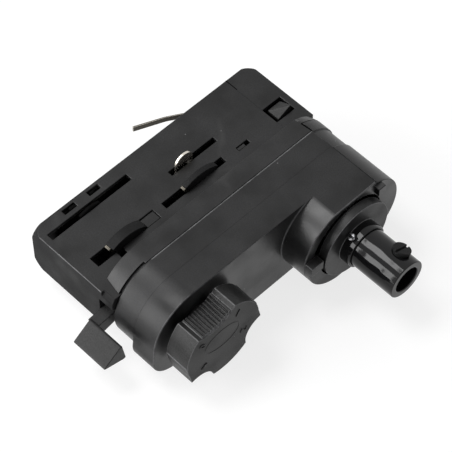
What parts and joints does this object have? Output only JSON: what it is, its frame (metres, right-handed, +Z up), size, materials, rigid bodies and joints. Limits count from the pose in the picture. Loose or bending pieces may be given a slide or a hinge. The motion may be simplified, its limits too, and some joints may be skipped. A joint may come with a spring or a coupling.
{
  "type": "track light adapter",
  "caption": "Black track light adapter: slotted contact body, selector knob, wedge locking lever and a swivelling stem tube for the lamp.",
  "frame": {"origin": "middle of the contact body in the shoulder plane that meets the underside of the track", "axes": "+X along the track towards the stem, +Z up into the track, -Y towards the face with the contact slots"},
  "size_m": [0.1041, 0.0308, 0.0978],
  "materials": {
    "black_plastic": "fine texture",
    "grip_plastic": "coarse texture",
    "inner_plastic": "plain",
    "black_lacquer": "gloss",
    "contact_metal": "nickel plated",
    "steel": "bright"
  },
  "bodies": {
    "case": {"contact_housing": "black_plastic", "end_cap": "black_plastic", "top_carrier": "black_plastic", "earth_foot": "contact_metal", "spring_rivet": "contact_metal", "base_plate": "black_plastic", "middle_frame": "black_plastic", "lower_cover": "black_plastic", "end_cover": "black_plastic", "swivel_guard": "black_plastic", "base_screws": "steel", "terminal_block": "inner_plastic", "terminal_screws": "contact_metal"},
    "catch": {"retaining_catch": "black_plastic"},
    "earth": {"earth_spring": "contact_metal"},
    "selector": {"selector_knob": "grip_plastic", "selector_shaft": "steel", "selector_drum": "black_plastic", "phase_contact": "contact_metal"},
    "lever": {"lock_lever": "grip_plastic", "lock_cam": "black_plastic", "cam_tip": "contact_metal"},
    "rotor": {"second_rotor": "black_plastic", "rotor_tip": "contact_metal", "neutral_contact": "contact_metal"},
    "rack": {"drive_rack": "black_plastic"},
    "stem": {"swivel_disc": "black_plastic", "stem_tube": "black_lacquer", "stem_ring": "steel", "hub_screw": "contact_metal", "clamp_screw": "black_lacquer"}
  },
  "joints": [
    {"name": "selector_turn", "type": "hinge", "parent": "case", "child": "selector", "pos_m": [-0.0275, 0, 0], "axis": [0, 0, 1], "range_deg": [-90, 90]},
    {"name": "lever_swing", "type": "hinge", "parent": "case", "child": "lever", "pos_m": [-0.0275, 0, 0], "axis": [0, 0, 1], "range_deg": [-90, 3]},
    {"name": "rotor_turn", "type": "hinge", "parent": "case", "child": "rotor", "pos_m": [0.003, 0, 0], "axis": [0, 0, 1], "range_deg": [-3, 90]},
    {"name": "rack_slide", "type": "slide", "parent": "case", "child": "rack", "axis": [1, 0, 0], "range_m": [-0.0003, 0.0076]},
    {"name": "stem_swivel", "type": "hinge", "parent": "case", "child": "stem", "pos_m": [0.0257, 0, 0], "axis": [0, 0, 1], "range_deg": [-165, 165]},
    {"name": "catch_press", "type": "slide", "parent": "case", "child": "catch", "axis": [0, 1, 0], "range_m": [0, 0.0022], "stiffness_N_per_m": 800},
    {"name": "earth_press", "type": "hinge", "parent": "case", "child": "earth", "pos_m": [0.027, 0.0005, 0.02825], "axis": [0, -1, 0], "range_deg": [0, 22], "stiffness_Nm_per_rad": 0.05}
  ],
  "couplings": [
    {"joint": "rotor_turn", "follows": "lever_swing", "ratio": -1},
    {"joint": "rack_slide", "follows": "lever_swing", "m_per_rad": -0.0048}
  ]
}
